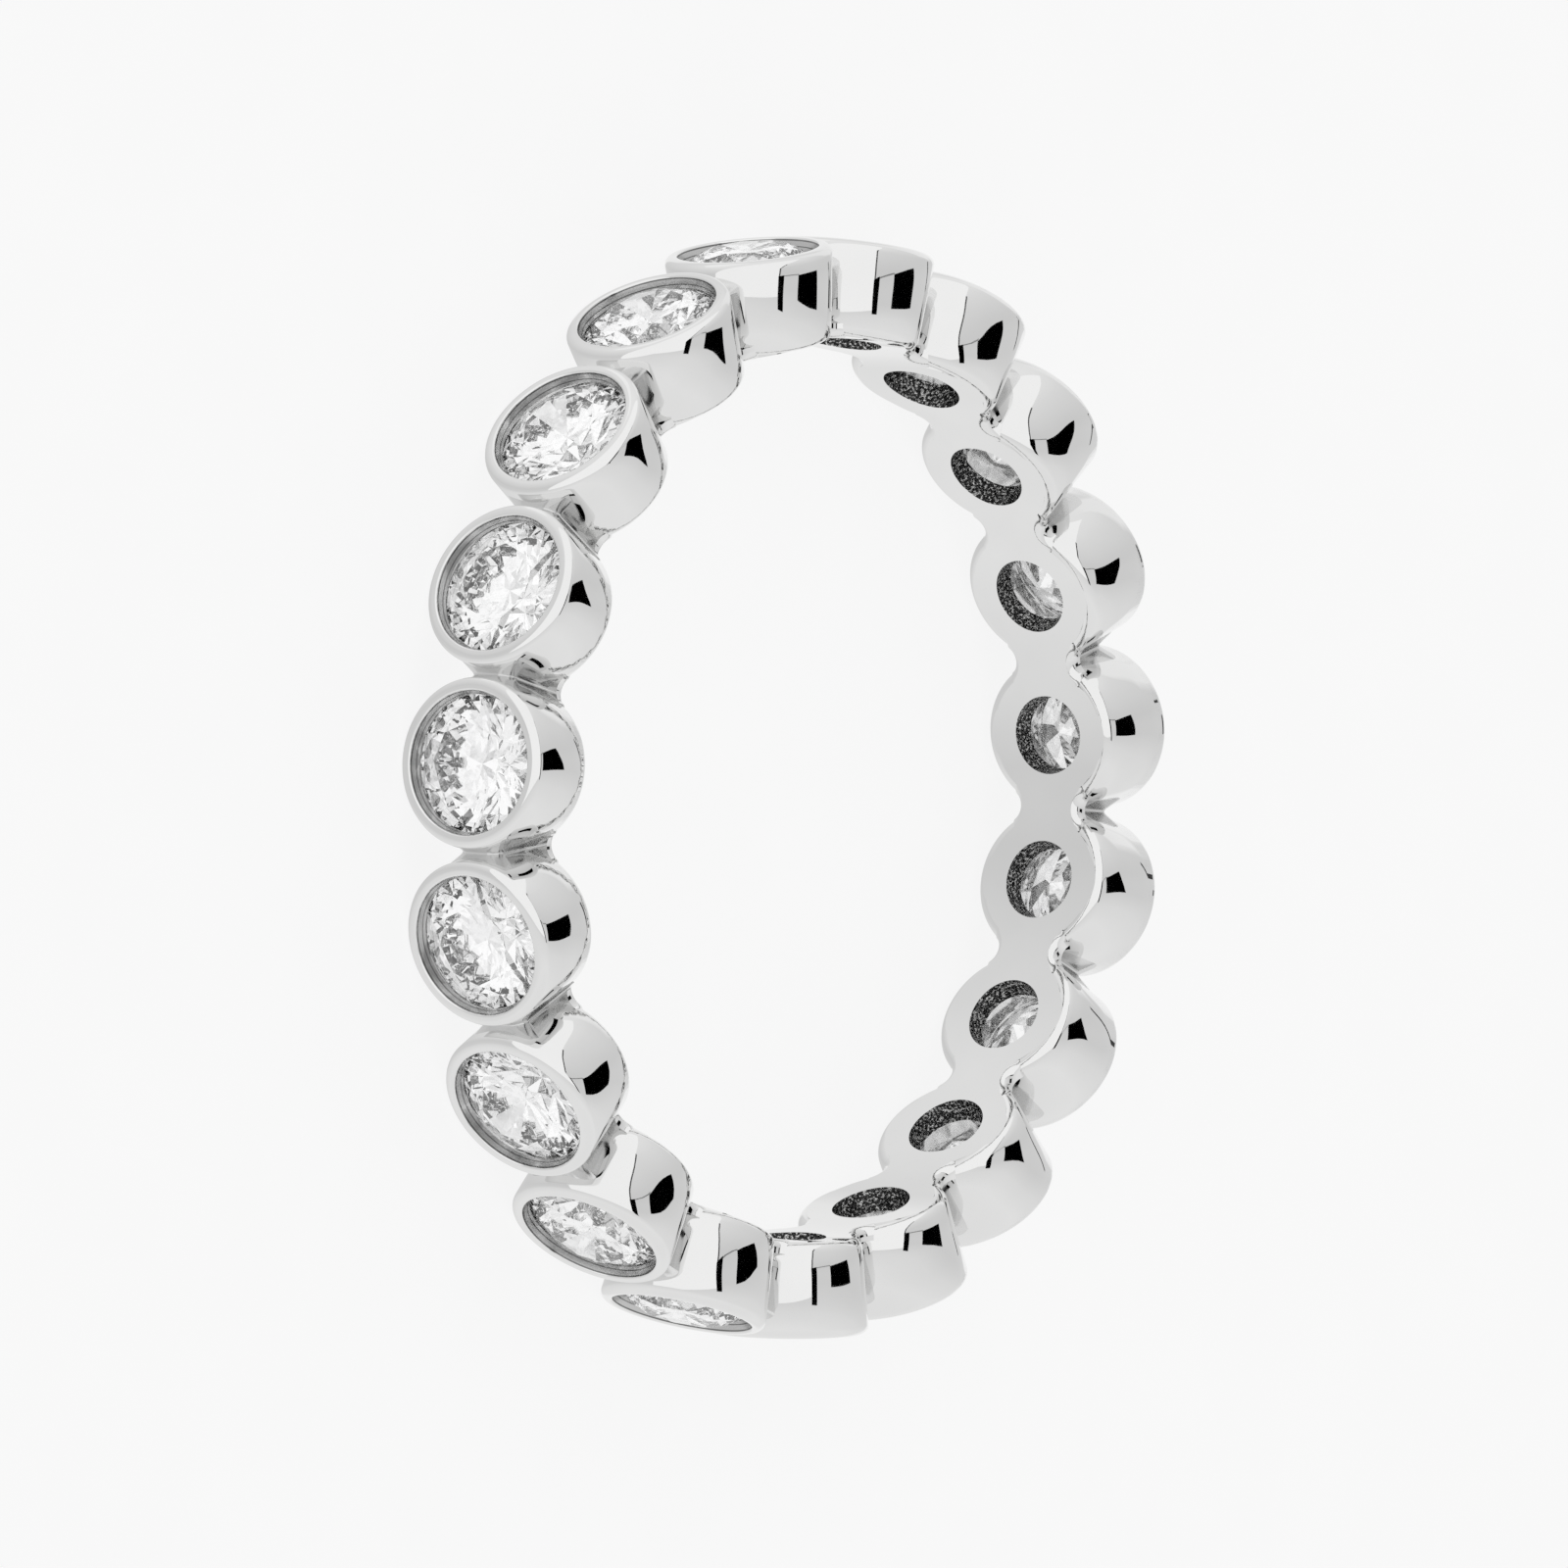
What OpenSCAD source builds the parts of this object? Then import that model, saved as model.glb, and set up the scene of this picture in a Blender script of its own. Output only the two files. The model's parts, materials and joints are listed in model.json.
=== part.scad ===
/* [Finger hole] */
// Inside diameter of the ring
finger_d = 16.5; // [15.5:0.1:17.5]

/* [Stones] */
// Diameter of a round stone at its girdle
stone_d = 2.5; // [2.42:0.01:2.56]
// Width of the flat table as a share of the stone's diameter
table_share = 0.58; // [0.53:0.01:0.62]
// Height of the crown, from the girdle up to the table
crown_h = 0.32; // [0.26:0.01:0.36]
// Height of the girdle band
girdle_h = 0.06; // [0.05:0.01:0.08]
// Depth of the pavilion, from the girdle down to the point
pavilion_h = 1.06; // [1:0.01:1.1]
// How far the star facets reach from the table's edge to the girdle
star_share = 0.52; // [0.45:0.01:0.55]
// How far the lower girdle facets reach from the girdle to the point
lower_share = 0.77; // [0.7:0.01:0.85]

/* [Bezels] */
// Height of a bezel, from the finger face out to the plane of its rim
bezel_h = 1.75; // [1.68:0.01:1.9]
// Width of the metal rim round a stone
rim_w = 0.24; // [0.21:0.01:0.26]
// How much wider than the stone the mouth of the rim is, on each side
mouth_flare = 0.04; // [0.03:0.01:0.06]
// Depth of the stone's girdle below the rim plane
girdle_depth = 0.27; // [0.24:0.01:0.3]
// How far the burnished lip reaches in over the stone's edge
lip_over = 0.02; // [0.01:0.005:0.04]
// How far the seat reaches in under the stone's edge
seat_under = 0.1; // [0.06:0.01:0.16]
// Clearance between a stone and the metal round it
stone_play = 0.03; // [0.02:0.005:0.04]
// How much narrower than its rim a bezel is at the finger face, all round
base_inset = 0.13; // [0.1:0.01:0.16]
// Rounding of the rim's outer edge
rim_round = 0.16; // [0.1:0.01:0.18]
// Rounding of the edges at the finger face
base_round = 0.2; // [0.12:0.01:0.22]
// Angle at which that rounding runs out on the finger face
base_round_end = 20; // [15:1:35]
// Diameter of the open hole behind each stone, at the finger face
hole_d = 1.46; // [1.2:0.02:1.56]
// Diameter of that hole at its inner end
hole_end_d = 1.36; // [1.1:0.02:1.4]
// Depth of that hole from the finger face
hole_depth = 0.42; // [0.34:0.01:0.5]

/* [Links between bezels] */
// Least gap between the rims of neighbouring bezels
rim_gap = 0.22; // [0.18:0.01:0.24]
// Thickness of the plate that joins the bezels at the finger face
plate_t = 0.27; // [0.25:0.01:0.4]
// Width of that plate at its narrowest, between two bezels
neck_w = 1.36; // [1.24:0.02:1.46]
// Width of the web between two bezels at the bottom of its side grooves
web_w = 0.86; // [0.6:0.02:0.96]
// Height of that web from the finger face
web_h = 1.5; // [1.2:0.02:1.56]
// Rounding of the web's outer edges
web_round = 0.28; // [0.2:0.01:0.3]
// Radius of the web's side grooves
groove_r = 0.18; // [0.15:0.01:0.22]
// Depth of those grooves
groove_depth = 0.11; // [0.06:0.01:0.13]

/* [Hidden] */
$fn = 96;
finger_r = finger_d / 2;
stone_r = stone_d / 2;
rim_r = stone_r + mouth_flare + rim_w;
base_r = rim_r - base_inset;
top_r = finger_r + bezel_h;
girdle_top_r = top_r - girdle_depth;
girdle_low_r = girdle_top_r - girdle_h;
base_round_z = finger_r + base_round * cos(base_round_end);

// as many bezels as fit round the finger hole with the gap between their rims
bezel_count = floor(180 / atan((rim_r + rim_gap / 2) / top_r));
pitch = 360 / bezel_count;
widest_gap = 2 * (top_r * tan(pitch / 2) - rim_r);

// the ring lies on its side, on the widest edges of its bezels
mid_z = rim_r;

// the metal starts this far inside the finger hole, which is cut last
sunk = plate_t;
// how far a cut runs on past the metal
past = 1;

function two_digits(i) = str(i < 10 ? "0" : "", i);
STONES = [for (i = [1:bezel_count]) str("stone_", two_digits(i))];

// turns a shape drawn along +Z from the ring's axis to point outwards at a place on the ring,
// counted in bezels
module at_place(place) {
    translate([0, 0, mid_z])
        rotate([0, 0, place * pitch])
            rotate([0, 90, 0])
                children();
}

// outside of one bezel: a slightly conical cup, rounded at its rim and at the finger face
module bezel_body() {
    rotate_extrude()
        union() {
            polygon([
                [0, finger_r - sunk],
                [base_r - base_round, finger_r - sunk],
                [base_r - base_round, base_round_z],
                [base_r, base_round_z],
                [rim_r, top_r - rim_round],
                [rim_r - rim_round, top_r],
                [0, top_r]
            ]);
            translate([base_r - base_round, base_round_z])
                circle(r = base_round);
            translate([rim_r - rim_round, top_r - rim_round])
                circle(r = rim_round);
        }
}

// inside of one bezel: mouth, burnished lip, groove for the girdle, seat and back hole
module bezel_hollow() {
    seat_slope = pavilion_h / stone_r;
    hole_slope = (hole_d - hole_end_d) / 2 / hole_depth;
    rotate_extrude()
        polygon([
            [0, finger_r - sunk],
            [hole_d / 2 + hole_slope * sunk, finger_r - sunk],
            [hole_end_d / 2, finger_r + hole_depth],
            [stone_r - seat_under, girdle_low_r - stone_play - seat_under * seat_slope],
            [stone_r + stone_play, girdle_low_r - stone_play],
            [stone_r + stone_play, girdle_top_r],
            [stone_r - lip_over, girdle_top_r + lip_over + stone_play],
            [stone_r + mouth_flare, top_r],
            [stone_r + mouth_flare, top_r + past],
            [0, top_r + past]
        ]);
}

// plate between two bezels at the finger face, hollowed on each side by an arc that meets both
module neck() {
    half_pitch_w = finger_r * tan(pitch / 2);
    neck_r = neck_w / 2;
    hollow_r = (pow(half_pitch_w, 2) + pow(neck_r, 2) - pow(base_r, 2)) / (2 * (base_r - neck_r));
    hollow_x = neck_r + hollow_r;
    touch_share = hollow_r / (hollow_r + base_r);
    into_bezel = base_round / 3;
    half_w = half_pitch_w * touch_share + into_bezel;
    half_l = hollow_x * (1 - touch_share);
    difference() {
        translate([-half_l, -half_w, finger_r - sunk])
            cube([2 * half_l, 2 * half_w, sunk + plate_t]);
        for (side = [-1, 1])
            translate([side * hollow_x, 0, 0])
                rotate_extrude()
                    union() {
                        translate([0, finger_r - past])
                            square([hollow_r, 2 * past]);
                        difference() {
                            translate([0, finger_r - past])
                                square([hollow_r + base_round, base_round_z - finger_r + past]);
                            translate([hollow_r + base_round, base_round_z])
                                circle(r = base_round);
                        }
                    }
    }
}

// web that fills the gap between two bezels above the plate, grooved along both sides
module web() {
    groove_x = web_w / 2 + groove_r;
    half_l = web_w / 2 + groove_depth;
    into_bezels = 1.5 * rim_w;
    top_z = finger_r + web_h;
    difference() {
        rotate([90, 0, 0])
            linear_extrude(height = widest_gap + into_bezels, center = true)
                union() {
                    translate([-half_l, finger_r])
                        square([2 * half_l, web_h - web_round]);
                    translate([-half_l + web_round, finger_r])
                        square([2 * (half_l - web_round), web_h]);
                    for (side = [-1, 1])
                        translate([side * (half_l - web_round), top_z - web_round])
                            circle(r = web_round);
                }
        for (side = [-1, 1])
            translate([side * groove_x, 0, finger_r - past])
                cylinder(r = groove_r, h = web_h + 2 * past);
    }
}

module setting() {
    color("gainsboro")
        difference() {
            union() {
                for (i = [0:bezel_count - 1]) {
                    at_place(i) bezel_body();
                    at_place(i + 0.5) neck();
                    at_place(i + 0.5) web();
                }
            }
            translate([0, 0, mid_z - rim_r - past])
                cylinder(r = finger_r, h = 2 * (rim_r + past));
            for (i = [0:bezel_count - 1])
                at_place(i) bezel_hollow();
        }
}

// one round brilliant, table up, its girdle's upper edge at height 0
FACETS = 8;
GIRDLE_STEPS = 2;
module brilliant() {
    turn = 360 / FACETS;
    half = turn / 2;
    small = half / GIRDLE_STEPS;
    ring_n = 2 * FACETS * GIRDLE_STEPS;
    table_r = table_share * stone_r;
    table_edge_r = table_r * cos(half);
    star_r = table_edge_r + star_share * (stone_r - table_edge_r);
    star_z = crown_h * (stone_r - star_r * cos(half)) / (stone_r - table_r);
    low_r = (1 - lower_share) * stone_r;
    low_z = -pavilion_h * (stone_r - low_r * cos(half)) / stone_r;
    edge_x = stone_r * cos(half / 2);
    upper_slope = star_z / (edge_x - star_r * cos(half / 2));
    lower_slope = low_z / (edge_x - low_r * cos(half / 2));

    function polar(r, a, z) = [r * cos(a), r * sin(a), z];
    function bulge(k) = edge_x - stone_r * cos((k % GIRDLE_STEPS) * small - half / 2);
    function at_girdle(k, slope) = k % GIRDLE_STEPS == 0 ? 0 : slope * bulge(k);

    points = concat(
        [for (i = [0:FACETS - 1]) polar(table_r, i * turn, crown_h)],
        [for (i = [0:FACETS - 1]) polar(star_r, i * turn + half, star_z)],
        [for (k = [0:ring_n - 1]) polar(stone_r, k * small, at_girdle(k, upper_slope))],
        [for (k = [0:ring_n - 1]) polar(stone_r, k * small, at_girdle(k, lower_slope) - girdle_h)],
        [for (i = [0:FACETS - 1]) polar(low_r, i * turn + half, low_z - girdle_h)],
        [[0, 0, -pavilion_h - girdle_h]]
    );
    star = FACETS;
    upper = 2 * FACETS;
    lower = upper + ring_n;
    low = lower + ring_n;
    point = low + FACETS;
    per = 2 * GIRDLE_STEPS;
    faces = concat(
        [[for (i = [FACETS - 1:-1:0]) i]],
        [for (i = [0:FACETS - 1]) [i, (i + 1) % FACETS, star + i]],
        [for (i = [0:FACETS - 1]) [i, star + i, upper + i * per, star + (i + FACETS - 1) % FACETS]],
        [for (i = [0:FACETS - 1], s = [0, 1])
            concat([star + i], [for (k = [GIRDLE_STEPS:-1:0]) upper + (i * per + s * GIRDLE_STEPS + k) % ring_n])],
        [for (k = [0:ring_n - 1])
            [upper + k, upper + (k + 1) % ring_n, lower + (k + 1) % ring_n, lower + k]],
        [for (i = [0:FACETS - 1], s = [0, 1])
            concat([low + i], [for (k = [0:GIRDLE_STEPS]) lower + (i * per + s * GIRDLE_STEPS + k) % ring_n])],
        [for (i = [0:FACETS - 1]) [point, low + (i + FACETS - 1) % FACETS, lower + i * per, low + i]]
    );
    polyhedron(points = points, faces = faces);
}

module stone(i) {
    color("white")
        at_place(i)
            translate([0, 0, girdle_top_r])
                brilliant();
}

setting();
for (i = [0:bezel_count - 1])
    stone(i);
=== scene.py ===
import json
import math

import bmesh
import bpy
import numpy as np
from mathutils import Matrix, Vector


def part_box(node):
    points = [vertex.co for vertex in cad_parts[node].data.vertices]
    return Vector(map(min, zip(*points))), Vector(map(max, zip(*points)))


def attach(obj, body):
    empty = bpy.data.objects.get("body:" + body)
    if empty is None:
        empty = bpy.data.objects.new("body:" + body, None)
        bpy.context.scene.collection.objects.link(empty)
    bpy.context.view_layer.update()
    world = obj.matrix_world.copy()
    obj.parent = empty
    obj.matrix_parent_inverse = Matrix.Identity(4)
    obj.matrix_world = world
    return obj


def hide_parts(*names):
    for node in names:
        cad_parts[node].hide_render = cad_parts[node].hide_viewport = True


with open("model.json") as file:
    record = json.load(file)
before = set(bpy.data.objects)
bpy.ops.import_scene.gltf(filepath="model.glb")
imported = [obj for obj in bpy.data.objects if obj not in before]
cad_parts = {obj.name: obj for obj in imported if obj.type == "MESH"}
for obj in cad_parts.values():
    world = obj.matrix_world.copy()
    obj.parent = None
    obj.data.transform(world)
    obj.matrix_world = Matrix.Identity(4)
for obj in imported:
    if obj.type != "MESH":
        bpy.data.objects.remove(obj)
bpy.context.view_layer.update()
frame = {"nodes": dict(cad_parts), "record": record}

# Cups and links
# The cups, the webs between them and the plates that join them at the finger face are one casting in
# white gold. It is turned and polished to a mirror round each cup, but left satin on the webs, where the
# wheel can't reach, and rough from the mould in the holes behind the stones. The webs, the lip's wall
# and the holes are given tones darker than the polished metal as painted shade, and the lip's wall has
# two dark lines of painted reflection.
MM = 0.001
stone_names = sorted(name for name in frame["nodes"] if name.startswith("stone_"))
cup_count = len(stone_names)
pitch = 2 * math.pi / cup_count
finger_hole = next(m for m in frame["record"]["mounts"] if m["name"] == "finger_hole")

# the cup's sizes in millimetres. A name that ends in _r is a distance from an axis, the ring's for
# finger_r, top_r and the girdle, and the cup's for the others
finger_r = finger_hole["dims"]["r_mm"]
mid_z = finger_hole["pos_m"][2] / MM
top_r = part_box("setting")[1].x / MM
rim_r = mid_z
girdle_depth = 0.27
girdle_h = 0.06
girdle_top_r = top_r - girdle_depth
girdle_low_r = girdle_top_r - girdle_h
mouth_r = 1.29
mouth_edge = 0.045
lip_r = 1.23
lip_t = 0.05
groove_r = 1.28
groove_gap = 0.03
seat_r = 1.15
seat_drop = 0.115
hole_r = 0.73
hole_end_r = 0.68
hole_depth = 0.42
rim_round = 0.16
base_r = 1.40
base_round = 0.20
base_cut_deg = 20
base_round_z = finger_r + base_round * math.cos(math.radians(base_cut_deg))
sunk = 0.27

# into how many steps the cup and the strips of its outline are divided
cup_steps = 96
foot_steps = 8
flank_steps = 12
rim_steps = 7
edge_steps = 3
inner_steps = 2

# the finishes of the casting's faces, in the order of its materials; some carry painted shade or a
# painted reflection
POLISHED, LIP_WALL, SEAT, CAST_AND_SHADE, PAINTED_REFLECTION, SATIN_AND_SHADE = range(6)

# the polisher's wheel leaves the flank slightly barrelled: the lean of its face towards the rim, as the
# factors of the rising powers of the height above its middle
flank_mid_r = 9.2
flank_lean = (0.013, 0.181, 0.118, 1.257, -0.258, -1.125)


def flank_facing(height):
    above = height - flank_mid_r
    lean = sum(factor * above ** power for power, factor in enumerate(flank_lean))
    return math.degrees(math.atan(lean))


def line(start, end, steps=1):
    """Points from start to end in the radius and height plane, each with the way that it faces."""
    along_r = end[0] - start[0]
    along_h = end[1] - start[1]
    facing = math.degrees(math.atan2(-along_r, along_h))
    points = []
    for i in range(steps + 1):
        share = i / steps
        points.append((start[0] + share * along_r, start[1] + share * along_h, facing))
    return points


def arc(centre, radius, from_deg, to_deg, steps, facings=None):
    """Points round an arc in the same plane. They face away from its centre, or turn between facings."""
    facings = facings or (from_deg, to_deg)
    points = []
    for i in range(steps + 1):
        share = i / steps
        turn = math.radians(from_deg + share * (to_deg - from_deg))
        facing = facings[0] + share * (facings[1] - facings[0])
        out = radius * math.cos(turn)
        up = radius * math.sin(turn)
        points.append((centre[0] + out, centre[1] + up, facing))
    return points


def skin(name, rows, closed, finishes=None):
    """A solid through rows of points, each row a loop of strips of (place, facing). Every corner keeps
    the way that it faces, and every face its finish."""
    per_row = sum(len(strip) - 1 for strip in rows[0])
    places = [place for row in rows for strip in row for place, facing in strip[:-1]]
    faces = []
    facings = []
    finish = []
    for j in range(len(rows) if closed else len(rows) - 1):
        after = (j + 1) % len(rows)
        k = 0
        for number, (here, there) in enumerate(zip(rows[j], rows[after])):
            for i in range(len(here) - 1):
                k_next = (k + 1) % per_row
                faces.append((j * per_row + k, after * per_row + k,
                              after * per_row + k_next, j * per_row + k_next))
                facings += [here[i][1], there[i][1], there[i + 1][1], here[i + 1][1]]
                finish.append(finishes[number] if finishes else POLISHED)
                k += 1
    if not closed:
        first_end = tuple(range(per_row))
        last_end = tuple((len(rows) - 1) * per_row + i for i in reversed(range(per_row)))
        for end in (first_end, last_end):
            faces.append(end)
            facings += [(0, 0, 1)] * per_row
            finish.append(POLISHED)
    mesh = bpy.data.meshes.new(name)
    mesh.from_pydata(places, [], faces)
    facing_kept = mesh.attributes.new("facing", "FLOAT_VECTOR", "CORNER")
    facing_kept.data.foreach_set("vector", np.ravel(facings))
    finish_kept = mesh.attributes.new("finish", "INT", "FACE")
    finish_kept.data.foreach_set("value", np.array(finish, np.int32))
    work = bmesh.new()
    work.from_mesh(mesh)
    bmesh.ops.recalc_face_normals(work, faces=work.faces)
    work.to_mesh(mesh)
    work.free()
    solid = bpy.data.objects.new(name, mesh)
    bpy.context.scene.collection.objects.link(solid)
    return solid


def join_solids(base, tool, operation):
    """Adds the tool to the base or cuts it out of it. What the faces carry is kept."""
    cut = base.modifiers.new("cut", "BOOLEAN")
    cut.operation = operation
    cut.solver = "MANIFOLD"
    cut.object = tool
    depsgraph = bpy.context.evaluated_depsgraph_get()
    joined = bpy.data.meshes.new_from_object(base.evaluated_get(depsgraph))
    base.modifiers.clear()
    base.data = joined
    bpy.data.objects.remove(tool)


# one cup, turned round its own axis, with z pointing out of the ring and y along it
base_centre = (base_r - base_round, base_round_z)
rim_centre = (rim_r - rim_round, top_r - rim_round)
edge_centre = (mouth_r + mouth_edge, top_r - mouth_edge)
cone_deg = math.degrees(math.atan((rim_r - base_r) / (rim_centre[1] - base_round_z)))
base_facing = flank_facing(base_round_z)
rim_facing = flank_facing(rim_centre[1])
mouth_wall = line((mouth_r, top_r), (lip_r, girdle_top_r + lip_t))
# the foot's round faces as it is, but runs over into the way that the flank faces
foot = [(r, h, facing + (base_facing + cone_deg) * (i / foot_steps) ** 3)
        for i, (r, h, facing) in enumerate(arc(base_centre, base_round, -90, -cone_deg, foot_steps))]
rim = arc(rim_centre, rim_round, -cone_deg, 90, rim_steps, (rim_facing, 90))
edge = arc(edge_centre, mouth_edge, 90, mouth_wall[0][2], edge_steps)
flank = [(r, h, flank_facing(h)) for r, h, facing in line(foot[-1][:2], rim[0][:2], flank_steps)]

# two dark lines of painted reflection run round the lip's wall, each from one share of its height to
# another
wall_lines = ((0.0, 0.14), (0.60, 0.70))
wall_cuts = [share for dark_line in wall_lines for share in dark_line] + [1.0]
wall_top = edge[-1][:2]
wall_end = mouth_wall[1][:2]
wall_places = [tuple(a + share * (b - a) for a, b in zip(wall_top, wall_end)) for share in wall_cuts]
wall_strips = [line(upper, lower) for upper, lower in zip(wall_places, wall_places[1:])]

groove_top = (groove_r, girdle_top_r)
groove_low = (groove_r, girdle_low_r - groove_gap)
seat_in = (seat_r, girdle_low_r - seat_drop)
hole_slope = (hole_r - hole_end_r) / hole_depth
hole_in = (hole_end_r, finger_r + hole_depth)
hole_out = (hole_r + hole_slope * sunk, finger_r - sunk)
under_foot = (base_centre[0], finger_r - sunk)
cup_profile = [
    line(under_foot, foot[0][:2]),
    foot,
    flank,
    rim,
    line(rim[-1][:2], edge[0][:2]),
    edge,
    *wall_strips,
    line(wall_end, groove_top),
    line(groove_top, groove_low),
    line(groove_low, seat_in),
    line(seat_in, hole_in, inner_steps),
    line(hole_in, hole_out, inner_steps),
    line(hole_out, under_foot),
]
cup_finishes = ([POLISHED] * 6 + [PAINTED_REFLECTION, LIP_WALL] * len(wall_lines)
                + [LIP_WALL, SEAT, SEAT, SEAT, CAST_AND_SHADE, POLISHED])
cup_rows = []
for j in range(cup_steps):
    turn = 2 * math.pi * j / cup_steps
    around = (math.cos(turn), math.sin(turn))
    row = []
    for strip in cup_profile:
        row.append([])
        for r, h, facing in strip:
            out = math.cos(math.radians(facing))
            up = math.sin(math.radians(facing))
            row[-1].append(((r * around[0], r * around[1], h), (out * around[0], out * around[1], up)))
    cup_rows.append(row)
cup = skin("cup", cup_rows, True, cup_finishes)

# web between two cups: its two sides open out from a crease at its middle until they meet the cups, by
# the flare, which is given at two heights, and its top is a shallow valley between the rims
crease_x = 0.45
crease_soft = 0.03
flare_low = 1.26
flare_high = 1.09
flare_low_z = 8.5
flare_high_z = 9.7
valley_z = finger_r + 1.45
valley_slope = 0.7
web_round = 0.28
web_round_steps = 8
web_levels = 8
web_low_z = finger_r + 0.22
web_blend = 0.06
# how far the web's rows stand from its middle, closest where its crease is sharp
web_ys = (0.01, 0.02, 0.03, 0.045, 0.06, 0.08, 0.10, 0.125, 0.15, 0.18, 0.21, 0.25, 0.30, 0.36)


def mirrored(strip):
    """The same strip on the other side of the ring's middle, run the other way."""
    return [((-p[0], p[1], p[2]), (-f[0], f[1], f[2])) for p, f in reversed(strip)]


def flare(z):
    return flare_low + (flare_high - flare_low) * (z - flare_low_z) / (flare_high_z - flare_low_z)


def cup_facing(place):
    """The way that the flank of the nearer cup faces at a place beside the link's middle."""
    lean = math.copysign(pitch / 2, place[1])
    axis = Vector((0, math.sin(lean), math.cos(lean)))
    height = Vector(place).dot(axis)
    outward = (Vector(place) - height * axis).normalized()
    up = math.radians(flank_facing(height))
    return outward * math.cos(up) + axis * math.sin(up)


def web_row(y):
    """The web's outline at y from its middle. Its sides face more and more as the cups' flanks do."""
    away = math.hypot(y, crease_soft)
    opened = away - crease_soft
    rate = y / away
    share = min(1, abs(y) / web_blend)
    share = share * share * (3 - 2 * share)
    top_z = valley_z + valley_slope * opened
    shoulder_z = top_z - web_round
    wall = []
    for i in range(web_levels + 1):
        z = web_low_z + (shoulder_z - web_low_z) * i / web_levels
        place = (crease_x + flare(z) * opened, y, z)
        own = Vector((1, -flare(z) * rate, 0)).normalized()
        wall.append((place, tuple(own.lerp(cup_facing(place), share).normalized())))
    side_x = wall[-1][0][0]
    round_x = side_x - web_round
    side_rate = flare(shoulder_z) * rate
    top_rate = valley_slope * rate
    shoulder = []
    for i in range(web_round_steps + 1):
        turn = math.pi / 2 * i / web_round_steps
        out = math.cos(turn)
        up = math.sin(turn)
        facing = Vector((out, -out * side_rate - up * top_rate, up)).normalized()
        if i == 0:
            facing = Vector(wall[-1][1])
        shoulder.append(((round_x + web_round * out, y, shoulder_z + web_round * up), tuple(facing)))
    top_facing = tuple(Vector((0, -top_rate, 1)).normalized())
    top = [((round_x, y, top_z), top_facing), ((-round_x, y, top_z), top_facing)]
    under_x = wall[0][0][0]
    under = [((-under_x, y, web_low_z), (0, 0, -1)), ((under_x, y, web_low_z), (0, 0, -1))]
    return [wall, shoulder, top, mirrored(shoulder), mirrored(wall), under]


# plate between two cups at the finger face, hollowed on each side by an arc that runs on into both
neck_r = 0.68
plate_t = 0.27
plate_overlap = 0.02
plate_steps = 28
# the plate's side follows the round of the cups' feet to just short of its lowest point
plate_round_degs = (75, 60, 45, 30, 15, 0)
foot_share = 0.9999
half_pitch_w = finger_r * math.tan(pitch / 2)
hollow_r = (half_pitch_w ** 2 + neck_r ** 2 - base_r ** 2) / (2 * (base_r - neck_r))
hollow_x = neck_r + hollow_r
plate_reach = half_pitch_w * (hollow_r + base_round) / (hollow_r + base_r) + plate_overlap


def plate_point(y, z):
    """A place on the plate's side and the way that it faces. The side rounds in below base_round_z."""
    drop = max(0, base_round_z - z)
    wide = hollow_r
    if drop > 0:
        wide += base_round - math.sqrt(max(0, base_round ** 2 - drop ** 2))
    x = hollow_x * (1 - wide / (hollow_r + base_r))
    if abs(y) < wide:
        x = min(x, hollow_x - math.sqrt(wide ** 2 - y * y))
    across = math.hypot(hollow_x - x, y)
    level = math.sqrt(1 - (drop / base_round) ** 2) if drop < base_round else 0
    facing = (level * (hollow_x - x) / across, -level * y / across, -min(1, drop / base_round))
    return (x, y, z), facing


def plate_row(y):
    low = base_round_z - foot_share * base_round
    levels = [base_round_z - base_round * math.sin(math.radians(deg)) for deg in plate_round_degs]
    foot_x = plate_point(y, low)[0][0]
    floor_z = finger_r - sunk
    drop_wall = [((foot_x, y, floor_z), (1, 0, 0)), ((foot_x, y, low), (1, 0, 0))]
    curve = [plate_point(y, z) for z in [low] + levels]
    wall = [curve[-1], plate_point(y, finger_r + plate_t)]
    x_top = wall[-1][0][0]
    top = [((x_top, y, finger_r + plate_t), (0, 0, 1)), ((-x_top, y, finger_r + plate_t), (0, 0, 1))]
    under = [((-foot_x, y, floor_z), (0, 0, -1)), ((foot_x, y, floor_z), (0, 0, -1))]
    return [drop_wall, curve, wall, top, mirrored(wall), mirrored(curve), mirrored(drop_wall), under]


def spaced(reach, steps):
    return [-reach + 2 * reach * i / steps for i in range(steps + 1)]


def leaned(points_row, angle):
    """A row of a link, turned round the ring's axis to its place beside the cup."""
    c = math.cos(angle)
    s = math.sin(angle)

    def turned(v):
        return v[0], v[1] * c + v[2] * s, v[2] * c - v[1] * s

    return [[(turned(place), turned(facing)) for place, facing in strip] for strip in points_row]


for side in (-1, 1):
    web_rows = [leaned(web_row(y), side * pitch / 2)
                for y in [-y for y in reversed(web_ys)] + [0] + list(web_ys)]
    join_solids(cup, skin("web", web_rows, False, [SATIN_AND_SHADE] * len(web_rows[0])), "UNION")
    plate_rows = [leaned(plate_row(y), side * pitch / 2) for y in spaced(plate_reach, plate_steps)]
    join_solids(cup, skin("plate", plate_rows, False), "UNION")

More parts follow.
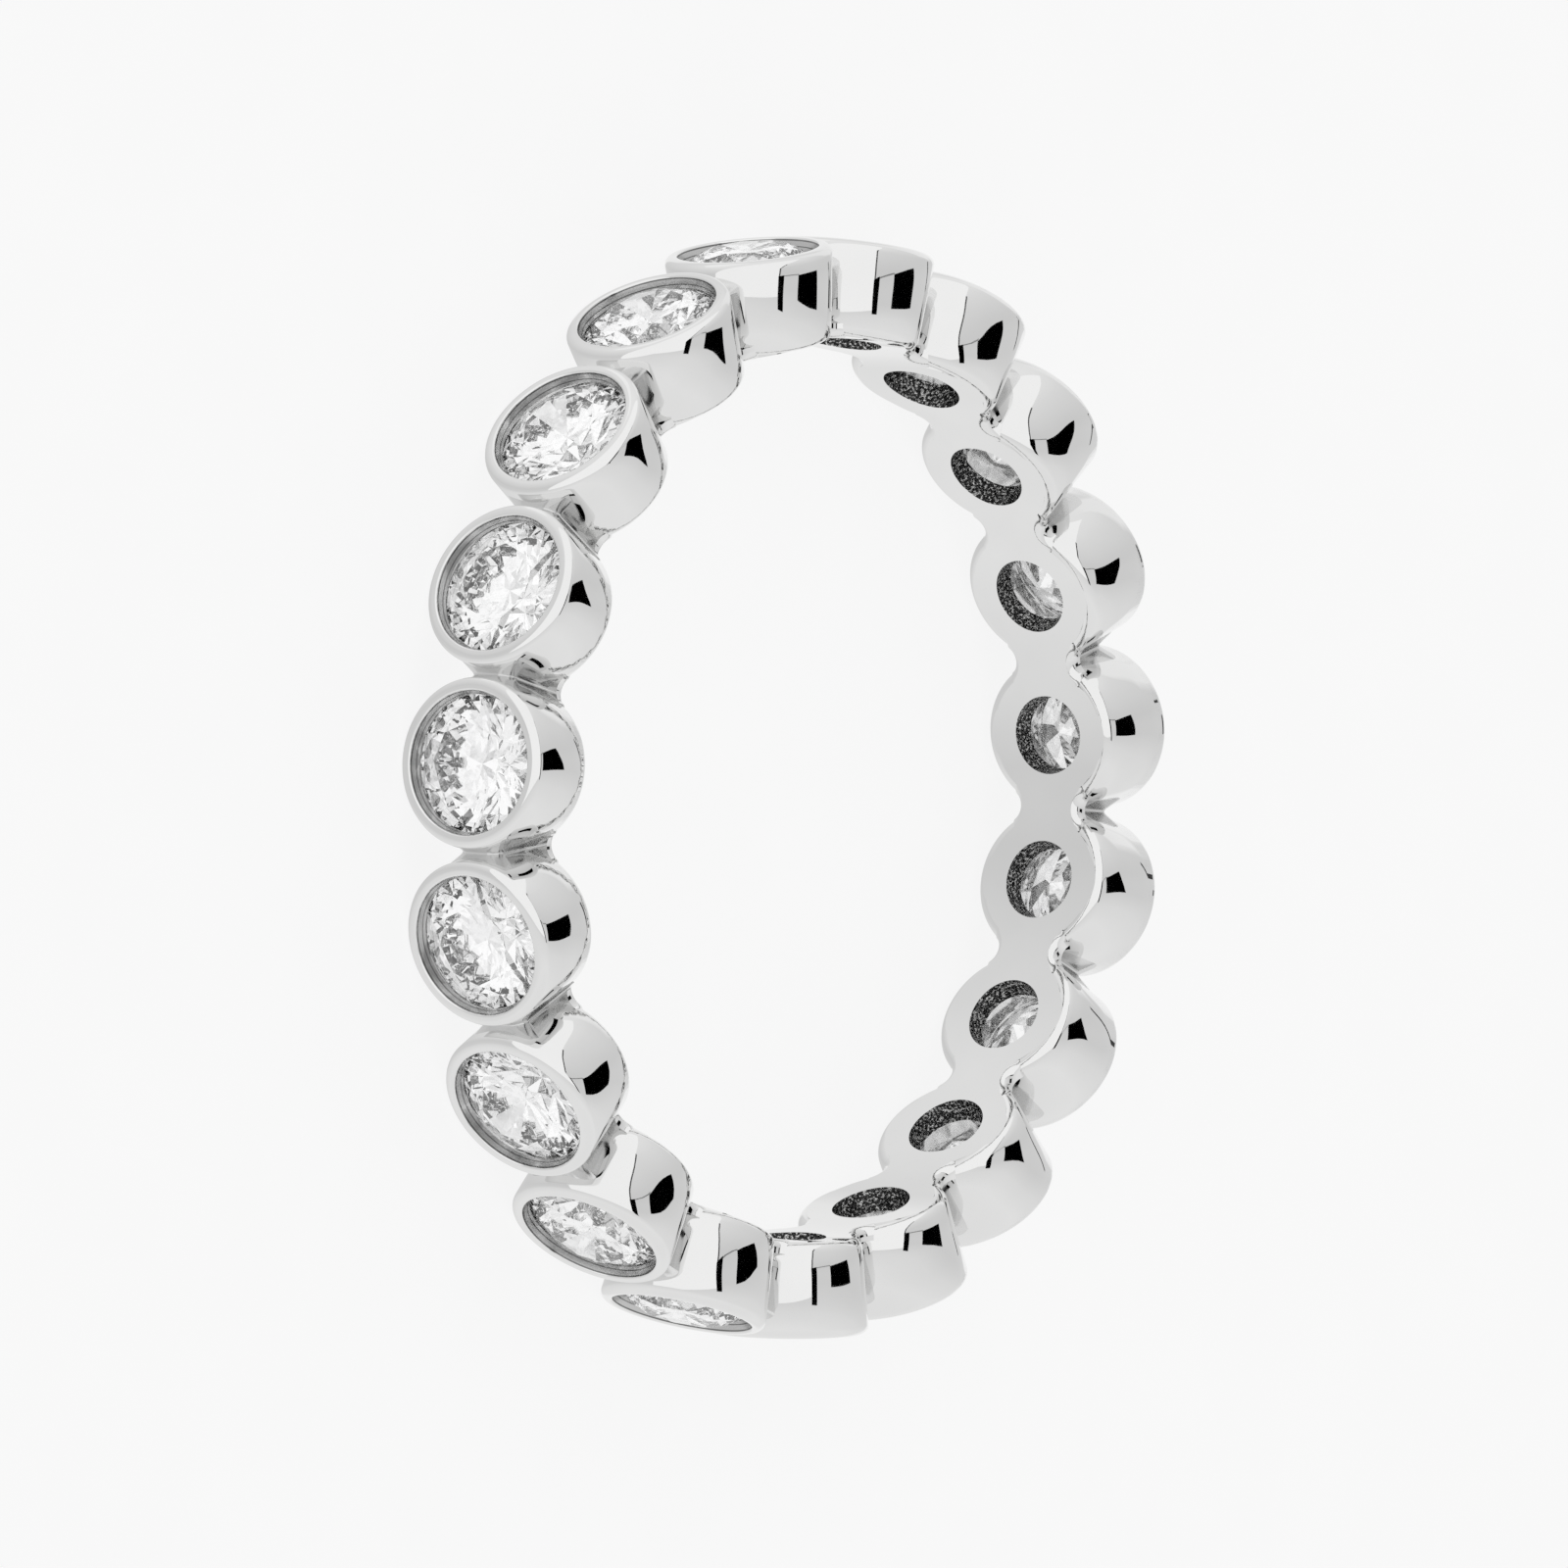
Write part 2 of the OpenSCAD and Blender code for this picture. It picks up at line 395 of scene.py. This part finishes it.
# the finger hole, cut through last by a curved block that is wider than the cup and its links
cutter_steps = 40
cutter_half_w = 2.0
cutter_t = 1.0
cutter_reach = 0.9 * pitch
cutter_core = finger_r - cutter_t
cutter_rows = []
for x in (-cutter_half_w, cutter_half_w):
    face = []
    for i in range(cutter_steps + 1):
        turn = -cutter_reach + 2 * cutter_reach * i / cutter_steps
        way = (0, math.sin(turn), math.cos(turn))
        face.append(((x, finger_r * way[1], finger_r * way[2]), (0, -way[1], -way[2])))
    right = math.sin(cutter_reach)
    up = math.cos(cutter_reach)
    core_right = (x, cutter_core * right, cutter_core * up)
    core_left = (x, -cutter_core * right, cutter_core * up)
    cutter_rows.append([
        face,
        [(face[-1][0], (0, 1, 0)), (core_right, (0, 1, 0))],
        [(core_right, (0, 0, -1)), (core_left, (0, 0, -1))],
        [(core_left, (0, -1, 0)), (face[0][0], (0, -1, 0))],
    ])
join_solids(cup, skin("cutter", cutter_rows, False), "DIFFERENCE")

# trimmed at the middles of its two links, turned round the ring and joined to the next
trim_gap = 1e-5
weld_gap = 1e-3 * MM
work = bmesh.new()
work.from_mesh(cup.data)
for side in (-1, 1):
    middle = (0, side * math.cos(pitch / 2), -math.sin(pitch / 2))
    bmesh.ops.bisect_plane(work, geom=work.verts[:] + work.edges[:] + work.faces[:], plane_co=(0, 0, 0),
                           plane_no=middle, dist=trim_gap, clear_outer=True)
work.verts.index_update()
facing_layer = work.loops.layers.float_vector["facing"]
finish_layer = work.faces.layers.int["finish"]
cup_places = np.array([v.co[:] for v in work.verts])
cup_faces = [[v.index for v in f.verts] for f in work.faces]
cup_facings = np.array([loop[facing_layer][:] for f in work.faces for loop in f.loops])
cup_finish = [f[finish_layer] for f in work.faces]
work.free()
bpy.data.objects.remove(cup)


def round_the_ring(vectors, index, centre_z):
    """Vectors in a cup's own axes, in the ring's: x across the ring, y along it, z outwards."""
    c = math.cos(index * pitch)
    s = math.sin(index * pitch)
    x, y, z = vectors.T
    return np.stack([z * c - y * s, z * s + y * c, centre_z - x], axis=1)


places = np.concatenate([round_the_ring(cup_places, i, mid_z) for i in range(cup_count)]) * MM
facings = np.concatenate([round_the_ring(cup_facings, i, 0) for i in range(cup_count)])
faces = [[v + i * len(cup_places) for v in f] for i in range(cup_count) for f in cup_faces]
casting_mesh = bpy.data.meshes.new("cups_and_links")
casting_mesh.from_pydata(places.tolist(), [], faces)
facing_kept = casting_mesh.attributes.new("facing", "FLOAT_VECTOR", "CORNER")
facing_kept.data.foreach_set("vector", facings.ravel())
casting_mesh.polygons.foreach_set("material_index", np.array(cup_finish * cup_count, np.int32))
work = bmesh.new()
work.from_mesh(casting_mesh)
bmesh.ops.remove_doubles(work, verts=[v for v in work.verts if v.is_boundary], dist=weld_gap)
bmesh.ops.recalc_face_normals(work, faces=work.faces)
work.to_mesh(casting_mesh)
work.free()
facing_now = np.zeros(len(casting_mesh.loops) * 3, np.float32)
casting_mesh.attributes["facing"].data.foreach_get("vector", facing_now)
facing_now = facing_now.reshape(-1, 3)
facing_now /= np.linalg.norm(facing_now, axis=1)[:, None]
casting_mesh.attributes.remove(casting_mesh.attributes["facing"])
casting_mesh.polygons.foreach_set("use_smooth", np.ones(len(casting_mesh.polygons), bool))
casting_mesh.normals_split_custom_set(facing_now.tolist())
casting = bpy.data.objects.new("cups_and_links", casting_mesh)
bpy.context.scene.collection.objects.link(casting)


def new_material(name):
    material = bpy.data.materials.new(name)
    material.use_nodes = True
    tree = material.node_tree
    return material, tree, tree.nodes["Principled BSDF"]


def noise(tree, scale, detail):
    """A noise that sits in the piece itself, with scale waves to the metre."""
    coordinates = tree.nodes.new("ShaderNodeTexCoord")
    texture = tree.nodes.new("ShaderNodeTexNoise")
    texture.inputs["Scale"].default_value = scale
    texture.inputs["Detail"].default_value = detail
    tree.links.new(coordinates.outputs["Object"], texture.inputs["Vector"])
    return texture.outputs["Fac"]


def mapped(tree, source, from_low, from_high, to_low, to_high):
    spread = tree.nodes.new("ShaderNodeMapRange")
    spread.inputs["From Min"].default_value = from_low
    spread.inputs["From Max"].default_value = from_high
    spread.inputs["To Min"].default_value = to_low
    spread.inputs["To Max"].default_value = to_high
    tree.links.new(source, spread.inputs["Value"])
    return spread.outputs["Result"]


def ramp(tree, source, low, high, colour_low, colour_high):
    colours = tree.nodes.new("ShaderNodeValToRGB")
    colours.color_ramp.elements[0].position = low
    colours.color_ramp.elements[1].position = high
    colours.color_ramp.elements[0].color = (*colour_low, 1)
    colours.color_ramp.elements[1].color = (*colour_high, 1)
    tree.links.new(source, colours.inputs["Fac"])
    return colours.outputs["Color"]


def bump(tree, height, strength, distance):
    relief = tree.nodes.new("ShaderNodeBump")
    relief.inputs["Strength"].default_value = strength
    relief.inputs["Distance"].default_value = distance
    tree.links.new(height, relief.inputs["Height"])
    return relief.outputs["Normal"]


# the noise runs from about 0.3 to 0.7
noise_low = 0.3
noise_high = 0.7
# white gold is a trace warmer than grey
gold_blue = 0.996


def gold(name, tones, tone_noise, roughness, rough_noise):
    """White gold whose tone and roughness wander between two values each, by noises given as their
    (scale, detail)."""
    material, tree, shader = new_material(name)
    colours = [(tone, tone, gold_blue * tone) for tone in tones]
    tree.links.new(ramp(tree, noise(tree, *tone_noise), noise_low, noise_high, *colours),
                   shader.inputs["Base Color"])
    tree.links.new(mapped(tree, noise(tree, *rough_noise), noise_low, noise_high, *roughness),
                   shader.inputs["Roughness"])
    shader.inputs["Metallic"].default_value = 1.0
    return material


polished = gold("polished_white_gold", (0.80, 0.82), (900, 3), (0.015, 0.05), (2500, 4))
# the lip's wall has a real turned roughness, and its tone, darker than the polished metal's, is painted
# shade
lip_wall_painted_shade = gold("turned_white_gold", (0.60, 0.66), (1500, 2), (0.20, 0.26), (1500, 2))
seat = gold("bright_cut_white_gold", (0.70, 0.80), (2500, 3), (0.06, 0.10), (2500, 3))
# the two lines round the lip's wall are near black: a painted reflection of dark stripes, not a tone of
# the metal
painted_reflection_gold = gold("burnished_line", (0.14, 0.26), (2500, 2), (0.15, 0.20), (2500, 2))
# the webs' satin roughness is real, and their tone, darker than the polished cups', is painted shade
# between the cups
satin_and_painted_shade = gold("satin_white_gold", (0.66, 0.72), (2500, 3), (0.12, 0.17), (2500, 3))

# the holes keep the grain of the mould, with bright crystals that stand out of it; the near-black ground
# between the crystals is painted shade of the hole behind the stone
crystals_from = 0.50
crystals_full = 0.64
crystal_h = 0.03 * MM
cast_and_painted_shade, tree, shader = new_material("cast_white_gold")
grain = noise(tree, 20000, 2)
tree.links.new(ramp(tree, grain, crystals_from, crystals_full, [0.05] * 3, (0.90, 0.90, 0.89)),
               shader.inputs["Base Color"])
tree.links.new(mapped(tree, grain, noise_low, noise_high, 0.4, 0.1), shader.inputs["Roughness"])
tree.links.new(bump(tree, grain, 1.0, crystal_h), shader.inputs["Normal"])
shader.inputs["Metallic"].default_value = 1.0

for finish in (polished, lip_wall_painted_shade, seat, cast_and_painted_shade, painted_reflection_gold, satin_and_painted_shade):
    casting_mesh.materials.append(finish)
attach(casting, "root")
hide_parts("setting")

# Stones
# Round brilliants of 2.5 mm, cut and polished. Each is pushed into its cup from above, and the metal
# lip is burnished over its edge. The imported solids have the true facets, so they stay.
diamond, tree, shader = new_material("round_brilliant")
tree.links.new(ramp(tree, noise(tree, 700, 2), noise_low, noise_high, (0.985, 0.985, 0.99), (1, 1, 1)),
               shader.inputs["Base Color"])
shader.inputs["Roughness"].default_value = 0.0
shader.inputs["IOR"].default_value = 2.417
shader.inputs["Transmission Weight"].default_value = 1.0
for name in stone_names:
    stone = frame["nodes"][name]
    stone.data.materials.clear()
    stone.data.materials.append(diamond)

# Floor
# A sheet of matt white paper on a light table, which the ring lies on. The light from below leaves only
# a faint shadow round the ring.
floor_half = 0.6
paper_glow = 0.862
floor_mesh = bpy.data.meshes.new("paper_floor")
floor_mesh.from_pydata([(-floor_half, -floor_half, 0), (floor_half, -floor_half, 0),
                        (floor_half, floor_half, 0), (-floor_half, floor_half, 0)], [], [(0, 1, 2, 3)])
floor = bpy.data.objects.new("paper_floor", floor_mesh)
bpy.context.scene.collection.objects.link(floor)
paper, tree, shader = new_material("white_paper")
tree.links.new(ramp(tree, noise(tree, 400, 2), noise_low, noise_high, [0.098] * 3, [0.104] * 3),
               shader.inputs["Base Color"])
shader.inputs["Roughness"].default_value = 1.0
shader.inputs["Specular IOR Level"].default_value = 0.0
shader.inputs["Emission Color"].default_value = (1.0, 1.0, 1.0, 1.0)
shader.inputs["Emission Strength"].default_value = paper_glow
floor_mesh.materials.append(paper)
# the photographed metal mirrors the studio and not the paper, so the paper is hidden from it
floor.visible_glossy = False
floor.visible_transmission = False

# Camera
# A long lens some 28 cm from the ring, as for a catalogue picture. It looks down on the ring at the
# picture's angle, and is rolled so that the ring seems to stand.
aim = Vector((0.0001, -0.00006, 0.0014))
camera_distance = 0.2776
camera_azimuth = math.radians(0.78)
camera_elevation = math.radians(35.42)
camera_roll = math.radians(93.1)
back = Vector((math.cos(camera_azimuth) * math.cos(camera_elevation),
               math.sin(camera_azimuth) * math.cos(camera_elevation), math.sin(camera_elevation)))
camera_data = bpy.data.cameras.new("camera")
camera_data.lens = 348.18
camera_data.sensor_width = 36
camera_data.clip_start = 0.01
camera_data.clip_end = 10
camera = bpy.data.objects.new("camera", camera_data)
bpy.context.scene.collection.objects.link(camera)
camera_turn = back.to_track_quat("Z", "Y").to_matrix().to_4x4() @ Matrix.Rotation(camera_roll, 4, "Z")
camera.matrix_world = Matrix.Translation(aim + camera_distance * back) @ camera_turn
bpy.context.scene.camera = camera
right_way, up_way, back_way = (camera.matrix_world.to_3x3().col[i].normalized() for i in range(3))

# Studio round the ring
# Grey walls and a paler ground, a white softbox in front, three pale cards that fill in the sides, and
# the black cards and thin rods whose dark shapes show in the polished metal.


def way_to(azimuth, elevation):
    """A direction from the ring: azimuth 0 is at the camera and 90 on its right, elevation is upwards."""
    a = math.radians(azimuth)
    e = math.radians(elevation)
    return (math.sin(a) * math.cos(e) * right_way + math.sin(e) * up_way
            + math.cos(a) * math.cos(e) * back_way)


# the black pieces stand nearer, so that they are seen in front of the softbox, and the pale cards
# stand just behind it
black_distance = 0.5
white_distance = 1.6
pale_distance = 1.61
softbox_tone = 1.04
pale_tone = 0.93


def card(name, outline, brightness, distance, fade=0):
    """A glowing card facing the ring, its outline given as (azimuth, elevation) seen from the ring. With
    a fade, its light dies away over that many more degrees outside the outline."""
    mid_azimuth = sum(azimuth for azimuth, elevation in outline) / len(outline)
    mid_elevation = sum(elevation for azimuth, elevation in outline) / len(outline)
    count = len(outline)
    directions = list(outline)
    faces = [tuple(range(count))]
    cover = [1.0] * count
    if fade:
        for azimuth, elevation in outline:
            away = math.hypot(azimuth - mid_azimuth, elevation - mid_elevation)
            directions.append((azimuth + fade * (azimuth - mid_azimuth) / away,
                               elevation + fade * (elevation - mid_elevation) / away))
            cover.append(0.0)
        faces += [(i, (i + 1) % count, (i + 1) % count + count, i + count) for i in range(count)]
    mesh = bpy.data.meshes.new(name)
    corners = [tuple(way_to(azimuth, elevation) * distance) for azimuth, elevation in directions]
    mesh.from_pydata(corners, [], faces)
    mesh.attributes.new("cover", "FLOAT", "POINT").data.foreach_set("value", cover)
    made = bpy.data.objects.new(name, mesh)
    bpy.context.scene.collection.objects.link(made)
    material = bpy.data.materials.new(name)
    material.use_nodes = True
    tree = material.node_tree
    tree.nodes.clear()
    glow = tree.nodes.new("ShaderNodeEmission")
    glow.inputs["Color"].default_value = (brightness, brightness, brightness, 1)
    clear = tree.nodes.new("ShaderNodeBsdfTransparent")
    covered = tree.nodes.new("ShaderNodeAttribute")
    covered.attribute_name = "cover"
    blend = tree.nodes.new("ShaderNodeMixShader")
    out = tree.nodes.new("ShaderNodeOutputMaterial")
    tree.links.new(covered.outputs["Fac"], blend.inputs[0])
    tree.links.new(clear.outputs["BSDF"], blend.inputs[1])
    tree.links.new(glow.outputs["Emission"], blend.inputs[2])
    tree.links.new(blend.outputs["Shader"], out.inputs["Surface"])
    mesh.materials.append(material)
    made.visible_camera = False
    made.visible_diffuse = False
    made.visible_shadow = False


def rod(name, path, width, brightness):
    """A thin rod seen along a path of (azimuth, elevation), as one narrow card for each stretch."""
    for number, ((a_from, e_from), (a_to, e_to)) in enumerate(zip(path, path[1:])):
        half = width / 2 / math.hypot(a_to - a_from, e_to - e_from)
        a_side = half * (e_from - e_to)
        e_side = half * (a_to - a_from)
        outline = [(a_from + a_side, e_from + e_side), (a_to + a_side, e_to + e_side),
                   (a_to - a_side, e_to - e_side), (a_from - a_side, e_from - e_side)]
        card(f"{name}_{number + 1}", outline, brightness, black_distance)


card("black_card_right", [(69.5, -6.5), (108.5, -4), (105, 14), (90, 13.5), (69, 11.5)], 0,
     black_distance)
card("black_bar_right", [(38.5, -15), (46.5, -15), (46.5, 12), (38, 11)], 0, black_distance)
rod("black_rod_level", [(46.5, 11.1), (70, 12.3)], 1.1, 0.25)
rod("black_rod_upright", [(39.5, 11), (41, 22), (45, 34), (48.5, 41), (57, 49.5)], 2.0, 0.06)
rod("black_rod_behind", [(140, 13.5), (146.5, -2)], 2.2, 0.05)
softbox_panels = (
    [(-48, -10), (40, -10), (39, 12), (41.4, 26), (-48, 26)],
    [(-48, 26), (41.4, 26), (47.5, 39.5), (56.5, 50), (-48, 50)],
    [(-48, 50), (56.5, 50), (70, 56), (90, 60), (115, 62), (110, 75), (60, 87), (-30, 87), (-48, 75)],
)
for number, panel in enumerate(softbox_panels):
    card(f"softbox_{number + 1}", panel, softbox_tone, white_distance)
card("pale_card_left", [(-160, 56), (-135, 60), (-112, 60), (-100, 62), (-95, 70), (-160, 70)], 1,
     pale_distance, fade=12)
card("pale_card_behind", [(166, -22), (194, -22), (200, 34), (160, 34)], pale_tone,
     pale_distance, fade=8)
card("pale_card_right", [(136, 30), (150, 18), (158, 20), (158, 60), (132, 60)], pale_tone,
     pale_distance, fade=8)

# the walls' tone from the ground, at -90 degrees, to straight above
studio_tones = ((-90, 0.885), (-45, 0.90), (-30, 0.855), (-20, 0.83), (-14, 0.79), (-9, 0.755),
                (-4, 0.72), (4, 0.725), (12, 0.70), (18, 0.715), (26, 0.75), (36, 0.785), (46, 0.82),
                (56, 0.87), (90, 0.93))
world = bpy.data.worlds.new("studio")
bpy.context.scene.world = world
world.use_nodes = True
tree = world.node_tree
tree.nodes.clear()
coordinates = tree.nodes.new("ShaderNodeTexCoord")
upness = tree.nodes.new("ShaderNodeVectorMath")
upness.operation = "DOT_PRODUCT"
upness.inputs[1].default_value = up_way
tree.links.new(coordinates.outputs["Generated"], upness.inputs[0])
half_turn = mapped(tree, upness.outputs["Value"], -1, 1, 0, 1)
walls_node = tree.nodes.new("ShaderNodeValToRGB")
tree.links.new(half_turn, walls_node.inputs["Fac"])
while len(walls_node.color_ramp.elements) < len(studio_tones):
    walls_node.color_ramp.elements.new(0.5)
for element, (elevation, tone) in zip(walls_node.color_ramp.elements, studio_tones):
    element.position = (math.sin(math.radians(elevation)) + 1) / 2
    element.color = (tone, tone, tone, 1)
walls = walls_node.outputs["Color"]
background = tree.nodes.new("ShaderNodeBackground")
tree.links.new(walls, background.inputs["Color"])
world_out = tree.nodes.new("ShaderNodeOutputWorld")
tree.links.new(background.outputs["Background"], world_out.inputs["Surface"])

bpy.context.scene.view_settings.view_transform = "Standard"
bpy.context.scene.cycles.max_bounces = 24
bpy.context.scene.cycles.glossy_bounces = 16
bpy.context.scene.cycles.transmission_bounces = 24
